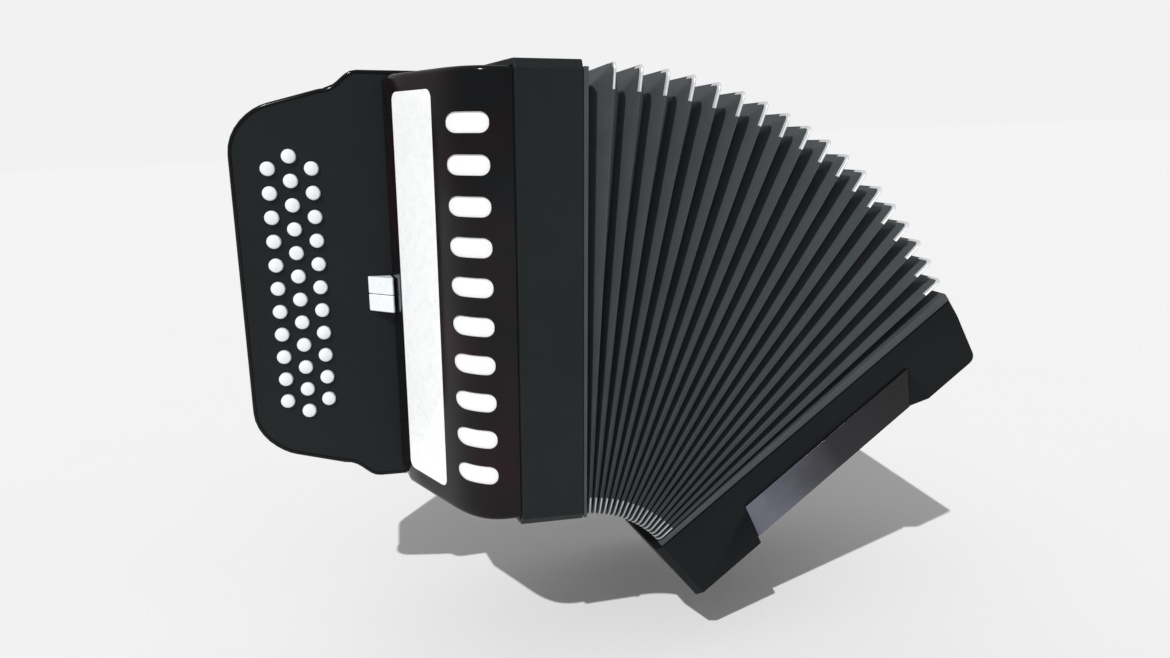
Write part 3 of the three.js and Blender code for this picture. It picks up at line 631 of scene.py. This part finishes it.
def facing(points, outward):
    """Points of a turned shape with its height axis swung round to face outward."""
    turn = np.array(Vector((0, 0, 1)).rotation_difference(Vector(outward)).to_matrix())
    return points.reshape(-1, 3) @ turn.T


def cap_profile(radius, proud, skirt, stem_radius, stem):
    """A cap's side view: a crown that falls as its radius squared, a quarter-round shoulder, a straight
    skirt, then the stem."""
    shoulder, fall = 1.5, 0.55
    flat = radius - shoulder
    rows = [(r * flat, proud - fall * r**2) for r in np.linspace(0, 1, 6)]
    for a in np.linspace(0, math.pi / 2, 6)[1:]:
        rows.append((flat + shoulder * math.sin(a), proud - fall - shoulder * (1 - math.cos(a))))
    rows += [(radius, -skirt), (stem_radius, -skirt), (stem_radius, -skirt - stem), (0, -skirt - stem)]
    return rows


def button_cap(name, centre, outward, radius, proud, skirt, stem_radius, stem, sides=28):
    """A turned cap whose crown faces along outward."""
    rows = turned(cap_profile(radius, proud, skirt, stem_radius, stem), sides)
    points = facing(rows, outward) + np.asarray(centre)
    return piece(name, points, grid_faces(len(rows), sides, close_cols=True), BUTTON_WHITE, 40)


BUTTON_ROWS = (11, 12, 11)
FIRST_ROW = FRONT_CORNER - 133.2
ROW_STEP = 15.0
BUTTON_PITCH = 17.4
BUTTON_MIDDLE = -0.8
for row, count in enumerate(BUTTON_ROWS):
    for i in range(count):
        node = f"treble_button_{row + 1}_{i + 1:02d}"
        z = ((count - 1) / 2 - i) * BUTTON_PITCH + BUTTON_MIDDLE
        centre = (FIRST_ROW - row * ROW_STEP, BOARD_FACE, z)
        cap = button_cap(node + "_cap", centre, (0, -1, 0), 5.1, 3.6, 4.5, 2.2, 9.0)
        place(cap, node, node)

for tab in ("register_tab_upper", "register_tab_lower"):
    place(softened(tab, BUTTON_WHITE, 0.8, 3, 25), tab, tab)


# ---------- bellows ----------
def fan_tables():
    """Foot, angle and length of every half-fold line, 0 to 36: angles rise evenly from the first ridge to
    the last, and each foot lies half a pitch on from the one before, square to the lines there."""
    step = (FAN_LAST - FAN_FIRST) / (2 * FOLDS - 2)
    j = np.arange(2 * FOLDS + 1)
    angle = FAN_FIRST + (j - 1) * step
    angle[0] = FAN_FIRST - FAN_MARGINS[0]
    angle[-1] = FAN_LAST + FAN_MARGINS[1]
    middle = np.radians(angle[1:] - step / 2)
    move = np.stack([np.cos(middle), -np.sin(middle)], axis=1) * FOLD_PITCH / 2
    start = [BELLOWS_SIDE + FAN_START[0], -HALF_FLAT + FAN_START[1]]
    foot = np.vstack([[0, 0], np.cumsum(move, axis=0)]) + start
    share = ((j + 1) / 2 - 2) / (FOLDS - 2)
    length = FAN_HEIGHT - FAN_LOSS * np.maximum(share, 0) ** 2
    return foot, np.radians(angle), length


FOOT, ANGLE, LENGTH = fan_tables()


def fan_at(t):
    """Foot, angle and length for fractional line numbers, straight between lines."""
    j = np.arange(2 * FOLDS + 1)
    foot = np.stack([np.interp(t, j, FOOT[:, 0]), np.interp(t, j, FOOT[:, 1])], axis=1)
    return foot, np.interp(t, j, ANGLE), np.interp(t, j, LENGTH)


def fan_points(t, d, y):
    """World points from line number t, distance d up the line and depth y, arrays of one shape."""
    foot, angle, _ = fan_at(t.ravel())
    x = foot[:, 0] + d.ravel() * np.sin(angle)
    z = foot[:, 1] + d.ravel() * np.cos(angle)
    return np.stack([x, y.ravel(), z], axis=1).reshape(*t.shape, 3)


def fold_outline(low, high, near, far, radius):
    """Rounded rectangles, one per row of the four bounds: distance up the line and depth for each point,
    straight along the sides and on quarter circles at the corners."""
    a = np.linspace(0, math.pi / 2, 6)
    arc = np.stack([np.sin(a), 1 - np.cos(a)], axis=1)
    s = np.linspace(0, 1, 10)[1:-1]
    r = radius[:, None]
    d_parts, y_parts = [], []
    lo, hi, n, f = (v[:, None] for v in (low, high, near, far))
    # front side upwards, top side backwards, back side downwards, foot forwards
    d_parts.append(lo + r + (hi - lo - 2 * r) * s)
    y_parts.append(n + 0 * s)
    d_parts.append(hi - r + r * arc[:, 0])
    y_parts.append(n + r * arc[:, 1])
    d_parts.append(hi + 0 * s)
    y_parts.append(n + r + (f - n - 2 * r) * s)
    d_parts.append(hi - r * arc[:, 1])
    y_parts.append(f - r + r * arc[:, 0])
    d_parts.append(hi - r - (hi - lo - 2 * r) * s)
    y_parts.append(f + 0 * s)
    d_parts.append(lo + r - r * arc[:, 0])
    y_parts.append(f - r * arc[:, 1])
    d_parts.append(lo + 0 * s)
    y_parts.append(f - r - (f - n - 2 * r) * s)
    d_parts.append(lo + r * arc[:, 1])
    y_parts.append(n + r - r * arc[:, 0])
    return np.hstack(d_parts), np.hstack(y_parts)


def follow_fold(obj, section, line):
    """Bakes the piece's placement into its points, and works out each point's share of the section's angle
    from its own line, between the bodies at the section's two ends; that share is not put to use."""
    first, last = section * SECTION_LINES, (section + 1) * SECTION_LINES
    _, start, _ = fan_at(np.array([float(first)]))
    _, end, _ = fan_at(np.array([float(last)]))
    _, angle, _ = fan_at(np.asarray(line, float))
    share = (angle - start[0]) / (end[0] - start[0])
    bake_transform(obj)
    share = np.clip(share, 0, 1).astype(np.float32)


def line_of(points):
    """Which line of the fan each point of a mesh lies on, by trying every small step of the fan."""
    tries = np.linspace(0, 2 * FOLDS, 3601)
    foot, angle, _ = fan_at(tries)
    normal = np.stack([np.cos(angle), -np.sin(angle)], axis=1)
    off = points[:, None, 0] * normal[None, :, 0] + points[:, None, 2] * normal[None, :, 1]
    off = np.abs(off - (foot * normal).sum(axis=1)[None])
    return tries[off.argmin(axis=1)]


def mesh_points(obj):
    """A mesh's points, in millimetres."""
    co = np.zeros(len(obj.data.vertices) * 3, np.float32)
    obj.data.vertices.foreach_get("co", co)
    return co.reshape(-1, 3).astype(float) / MM


def fold_section(section):
    """Six folds: a rounded-rectangle ring carried along the fan. It is drawn in by the depth of a fold at
    valleys and fully out at ridges, straight between them, with a parabola blunting both creases."""
    first = section * SECTION_LINES
    half = np.array([0.0, 0.03, 0.08, 0.3, 0.5, 0.7, 0.92, 0.97])
    t = np.concatenate([first + i + half for i in range(SECTION_LINES)] + [[first + SECTION_LINES]])
    u = np.abs((t + 1) % 2 - 1)  # 0 at valleys, 1 at ridges
    blunt = 0.07  # share of a half-fold that a crease takes
    out = np.where(u > 1 - blunt, 1 - (1 - u) ** 2 / (2 * blunt), u)
    out = np.where(u < blunt, u**2 / (2 * blunt), out)
    inset = FOLD_DEPTH * (1 - out)
    _, _, length = fan_at(t)
    radius = FOLD_CORNER - 2.6 * (1 - u)
    d, y = fold_outline(inset, length - inset, FRONT + 1 + inset, -1 - inset, radius)
    grid = fan_points(np.broadcast_to(t[:, None], d.shape), d, y)
    name = f"bellows_folds_{section + 1}"
    middle = grid.reshape(-1, 3).mean(axis=0)
    obj = piece(name, grid, grid_faces(*d.shape, close_cols=True), CARD, 28, middle)
    follow_fold(obj, section, line_of(mesh_points(obj)))
    thicken(obj, 0.9)
    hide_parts(f"bellows_section_{section + 1}")


def strip_path(run):
    """A corner strip's middle line and its outward directions, both as (up the line, depth): up the front
    side, round the corner on a quarter circle, then straight back along the top."""
    arc = np.linspace(0, math.pi / 2, 7)
    turn = np.stack([np.sin(arc), -np.cos(arc)], axis=1)[1:-1]
    front = np.stack([np.linspace(-run, -FOLD_CORNER, 4), np.zeros(4)], axis=1)
    corner = turn * FOLD_CORNER + [-FOLD_CORNER, FOLD_CORNER]
    top = np.stack([np.zeros(4), np.linspace(FOLD_CORNER, 15.0, 4)], axis=1)
    out = np.vstack([np.tile([0.0, -1.0], (4, 1)), turn, np.tile([1.0, 0.0], (4, 1))])
    return np.vstack([front, corner, top]), out


def corner_strip(ridge, is_top, is_front):
    """Grid of one metal strip bent over a ridge's corner: a half-round nose with a leg down each flank of
    the ridge, as far out as the flank is there, carried along the strip's path. The path is mirrored in
    depth for a back corner, and up the line for a foot."""
    foot, angle, length = fan_at(np.array([float(ridge)]))
    path, out = strip_path(17.0 if is_top else 14.4)
    up = length[0] + path[:, 0] if is_top else -path[:, 0]
    out_up = out[:, 0] if is_top else -out[:, 0]
    depth = FRONT + 1 + path[:, 1] if is_front else -1 - path[:, 1]
    out_depth = out[:, 1] if is_front else -out[:, 1]
    deep = 2.3  # how far the legs reach down the flanks
    half = 0.8 if is_top else 0.6
    widens = math.radians(1.359)  # the angle between one line of the fan and the next
    flank = (FOLD_PITCH / 2 + np.maximum(up, 0) * widens) / FOLD_DEPTH
    nose = np.linspace(-math.pi / 2, math.pi / 2, 7)
    proud = np.concatenate([[-deep], -0.75 + 0.9 * np.cos(nose), [-deep]])
    side = np.concatenate([[-1], half * np.sin(nose), [1]])
    leg = np.maximum(half, flank * deep + 0.28)[:, None]
    across = np.where(np.abs(side[None]) >= 1, np.sign(side[None]) * leg, side[None])
    d = up[:, None] + out_up[:, None] * proud[None]
    y = depth[:, None] + out_depth[:, None] * proud[None]
    sine, cosine = math.sin(angle[0]), math.cos(angle[0])
    x = foot[0, 0] + d * sine + across * cosine
    z = foot[0, 1] + d * cosine - across * sine
    return np.stack([x, y, z], axis=-1)


def corner_strips(section):
    """The strips over all four corners of a section's six ridges, as one piece. Every point is matched to
    the ridge that it is nearest to, and that ridge's line goes to follow_fold."""
    points, faces = [], []
    start = 0
    ridges = np.arange(section * SECTION_LINES + 1, (section + 1) * SECTION_LINES, 2)
    for ridge in ridges:
        for is_top in (True, False):
            for is_front in (True, False):
                grid = corner_strip(ridge, is_top, is_front)
                rows, cols = grid.shape[:2]
                points.append(grid.reshape(-1, 3))
                faces += grid_faces(rows, cols, close_cols=True, first=start).tolist()
                faces += end_caps(rows, cols, start)
                start += rows * cols
    obj = piece(f"fold_corners_{section + 1}", np.vstack(points), faces, NICKEL, 40)
    found = line_of(mesh_points(obj))
    nearest = ridges[np.abs(found[:, None] - ridges[None]).argmin(axis=1)]
    follow_fold(obj, section, nearest)


for section in range(3):
    fold_section(section)
    corner_strips(section)

for end in ("treble", "bass"):
    node = f"bellows_frame_{end}"
    place(softened(node, CARD, 0.5, 2, 40), f"{end}_end", node)


# ---------- bass end ----------
BASS_OUT = np.array([math.cos(BASS_TILT), 0, -math.sin(BASS_TILT)])
BASS_UP = np.array([math.sin(BASS_TILT), 0, math.cos(BASS_TILT)])


LAST_FOOT = np.array([FOOT[-1, 0], 0, FOOT[-1, 1]])
BASS_ORIGIN = LAST_FOOT + BASS_OUT * BASS_JOIN + BASS_UP * (-BASS_FLOOR + BASS_FOOT)


def on_bass(points):
    """Points given as (out from the bellows side, depth, up from the flat top), put into the
    instrument's frame."""
    p = np.asarray(points, float)
    return BASS_ORIGIN + p[..., :1] * BASS_OUT + p[..., 1:2] * [0, 1, 0] + p[..., 2:] * BASS_UP


place(softened("bass_casing", BASS_SATIN, 1.1, 3, 22), "bass_end", "bass_casing")
BASS_TOP = float(BASS_ORIGIN @ BASS_UP) * MM
PALM = palm_gloss(BASS_TOP - 0.2, BASS_TOP - 0.135, BASS_TOP - 0.075)
place(softened("palm_plate", PALM, 0.25, 2, 30), "bass_end", "palm_plate")

BASS_PITCH = 17.0
for row in range(2):
    for i in range(3):
        node = f"bass_button_{row + 1}_{i + 1}"
        depth = FRONT + 46 + row * BASS_PITCH
        centre = on_bass((BASS_THICK, depth, -112 - (i + row * 0.5) * BASS_PITCH))
        cap = button_cap(node + "_cap", centre, BASS_OUT, 4.0, 4.5, 7.0, 1.8, 6.0, 24)
        place(cap, node, node)
centre = on_bass((BASS_THICK, FRONT + 54.5, -70))
air = button_cap("air_button_cap", centre, BASS_OUT, 7.0, 5.0, 7.0, 3.15, 6.0, 32)
place(air, "air_button", "air_button")

STRAP_MIDDLE = FRONT + 118.0  # depth of the strap's middle line
STRAP_TOP = -30.0
STRAP_FOOT = -256.0
CLAMPS = (STRAP_TOP - 6, STRAP_FOOT + 6)


def strap_line(count):
    """The strap's middle line, (out, up): flat landings at both ends joined by an arch that rises as three
    times a share squared less twice its cube, and is flat on top."""
    landing, slope, rise = 24.0, 62.0, 30.0
    up = np.linspace(STRAP_TOP, STRAP_FOOT, count)
    inner = np.clip((STRAP_TOP - landing - up) / slope, 0, 1)
    outer = np.clip((up - (STRAP_FOOT + landing)) / slope, 0, 1)
    share = np.minimum(inner, outer)
    return np.stack([BASS_THICK + 0.3 + rise * (3 * share**2 - 2 * share**3), up], axis=1)


def strap_size(count):
    """Half the strap's width and half its thickness along its line: both swell as a sine's low power."""
    swell = np.sin(math.pi * np.linspace(0, 1, count))
    return 25.0 + 3.6 * swell**0.6, 1.25 + 0.7 * swell**0.5


STRAP_LIFT = 2.0  # from the strap's line to the middle of the leather


def strap_band():
    """Padded leather band: a crowned cross-section, rounded by powers of a circle's cosine and sine,
    carried along the strap's line, wide over the hand and narrower at its ends."""
    line = strap_line(90)
    half_width, half_thick = strap_size(90)
    outward = -path_frame(line)[1]
    a = np.linspace(0, 2 * math.pi, 36, endpoint=False)
    c, s = np.cos(a), np.sin(a)
    across = np.sign(c) * np.abs(c) ** 0.35
    thick = np.sign(s) * np.abs(s) ** 0.7
    crown = 1 - 0.35 * np.abs(across) ** 3
    height = half_thick[:, None] * thick[None] * crown[None]
    base = line[:, None, :] + outward[:, None, :] * (height[..., None] + STRAP_LIFT)
    depth = STRAP_MIDDLE + half_width[:, None] * across[None]
    local = np.stack([base[..., 0], depth, base[..., 1]], axis=-1)
    rows, cols = local.shape[:2]
    faces = grid_faces(rows, cols, close_cols=True).tolist() + end_caps(rows, cols)
    band = piece("hand_strap_band", on_bass(local), faces, LEATHER, 50)
    return band


place(strap_band(), "bass_end", "hand_strap")


def strap_stitches():
    """Two rows of short raised stitches, each a small capsule along the strap's line near its edge."""
    line = strap_line(181)
    half_width, half_thick = strap_size(181)
    step, inward = path_frame(line)
    a = np.linspace(0, 2 * math.pi, 6, endpoint=False)
    along = np.array([-1.35, -1.0, 1.0, 1.35])[:, None]
    girth = np.array([0.05, 0.38, 0.38, 0.05])[:, None]
    rows, cols = len(girth), len(a)
    points, faces, start = [], [], 0
    for side in (-1, 1):
        for k in range(6, len(line) - 6, 3):
            centre = line[k] - inward[k] * (STRAP_LIFT + half_thick[k] * 0.86)
            seam = STRAP_MIDDLE + side * (half_width[k] - 4.5)
            flat = centre + step[k] * along[..., None] - inward[k] * (girth * np.sin(a))[..., None]
            local = np.stack([flat[..., 0], seam + girth * np.cos(a), flat[..., 1]], axis=-1)
            points.append(on_bass(local).reshape(-1, 3))
            faces += grid_faces(rows, cols, close_cols=True, first=start).tolist()
            faces += end_caps(rows, cols, start)
            start += rows * cols
    return piece("strap_stitches", np.vstack(points), faces, THREAD, 60)


place(strap_stitches(), "bass_end")


def screw_head(centre, outward, radius, height):
    """Points and faces of a domed screw head with a shallow dish in its crown: the dome falls as the 2.2
    power of its share of the way out."""
    profile = [(0, height * 0.72), (radius * 0.3, height * 0.74), (radius * 0.42, height)]
    profile += [(radius * (0.42 + 0.58 * t), height * (1 - t**2.2)) for t in np.linspace(0, 1, 5)[1:]]
    profile += [(radius, -0.6), (0, -0.6)]
    rows = facing(turned(profile, 16), outward) + np.asarray(centre)
    return rows, grid_faces(len(profile), 16, close_cols=True)


def fittings(name, seats, radius, height):
    """One piece of many like screw heads: each seat is a place and an outward direction."""
    points, faces, start = [], [], 0
    for centre, outward in seats:
        head, head_faces = screw_head(centre, outward, radius, height)
        points.append(head)
        faces.append(head_faces + start)
        start += len(head)
    return piece(name, np.vstack(points), np.vstack(faces), STEEL, 40)


def strap_clamps():
    """Thin steel plates over the strap's landings: a rounded rectangle grown from its middle in rings, each
    with its share of the outline and its distance out, domed on top, with a rim down to a flat back."""
    rings = [(0.0, 4.9), (0.55, 5.2), (0.93, 5.2), (1.0, 4.8), (1.0, 3.2), (0.0, 3.2)]
    share, out = np.array(rings).T[..., None]
    points, faces, start = [], [], 0
    for up in CLAMPS:
        loop = rounded_loop(STRAP_MIDDLE, up, 21.0, 4.6, 2.4, 12, 6)
        depth = STRAP_MIDDLE + (loop[:, 0] - STRAP_MIDDLE) * share
        height = up + (loop[:, 1] - up) * share
        grid = np.stack([BASS_THICK + out + 0 * depth, depth, height], axis=-1)
        points.append(on_bass(grid).reshape(-1, 3))
        faces.append(grid_faces(len(rings), len(loop), close_cols=True, first=start))
        start += grid.shape[0] * grid.shape[1]
    return piece("strap_clamps", np.vstack(points), np.vstack(faces), STEEL, 40)


place(strap_clamps(), "bass_end")
CLAMP_SEATS = [
    (on_bass((BASS_THICK + 5.1, STRAP_MIDDLE + side * 15, up)), BASS_OUT)
    for up in CLAMPS
    for side in (-1, 0, 1)
]
place(fittings("clamp_screws", CLAMP_SEATS, 2.2, 0.9), "bass_end")

# ---------- solids that keep their own shape ----------
for node, finish in (
    ("fingerboard", BOARD),
    ("treble_soundboard", SPRUCE),
    ("treble_reed_block", SPRUCE),
    ("bass_reed_block", SPRUCE),
):
    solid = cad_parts[node]
    solid.data.materials.clear()
    solid.data.materials.append(finish)

# ---------- stage, light and camera ----------
FLOOR_Z = -0.2795  # metres, as everything below
FLOOR_TILT = 2.8  # degrees: the treble end stands a little off plumb over the floor
bpy.ops.mesh.primitive_plane_add(size=40, location=(0, 12.0, FLOOR_Z))
floor = bpy.context.object
floor.rotation_euler = (0, math.radians(-FLOOR_TILT), 0)
floor.name = "studio_floor"
floor.data.materials.append(studio_floor())
bpy.context.scene.view_settings.view_transform = "Standard"


def studio_world():
    """A pale surround behind everything, and a weaker one for the light that it gives."""
    world = bpy.data.worlds.new("studio")
    world.use_nodes = True
    nodes, links = world.node_tree.nodes, world.node_tree.links
    seen = nodes["Background"]
    seen.inputs["Color"].default_value = (*srgb("f2f2f2"), 1.0)
    given = nodes.new("ShaderNodeBackground")
    given.inputs["Color"].default_value = (1.0, 1.0, 1.0, 1.0)
    given.inputs["Strength"].default_value = 0.42
    path = nodes.new("ShaderNodeLightPath")
    mix = nodes.new("ShaderNodeMixShader")
    links.new(path.outputs["Is Camera Ray"], mix.inputs[0])
    links.new(given.outputs[0], mix.inputs[1])
    links.new(seen.outputs[0], mix.inputs[2])
    links.new(mix.outputs[0], nodes["World Output"].inputs["Surface"])
    return world


bpy.context.scene.world = studio_world()


def aim(obj, direction):
    """Turns a lamp so that it shines along a direction."""
    obj.rotation_euler = Vector(direction).to_track_quat("-Z", "Y").to_euler()


sun = bpy.data.lights.new("key", "SUN")
sun.energy = 2.5
sun.angle = math.radians(0.8)
key = bpy.data.objects.new("key", sun)
bpy.context.scene.collection.objects.link(key)
aim(key, (0.53, 0.68, -1.0))

lens = bpy.data.cameras.new("view")
lens.sensor_width = 36.0
lens.lens = 24.44
lens.clip_end = 50.0
camera = bpy.data.objects.new("view", lens)
camera.location = (-0.0840, -0.6864, 0.10475)
camera.rotation_euler = (math.radians(90 - 13.24), 0.0, math.radians(-12.74))
bpy.context.scene.collection.objects.link(camera)
bpy.context.scene.camera = camera
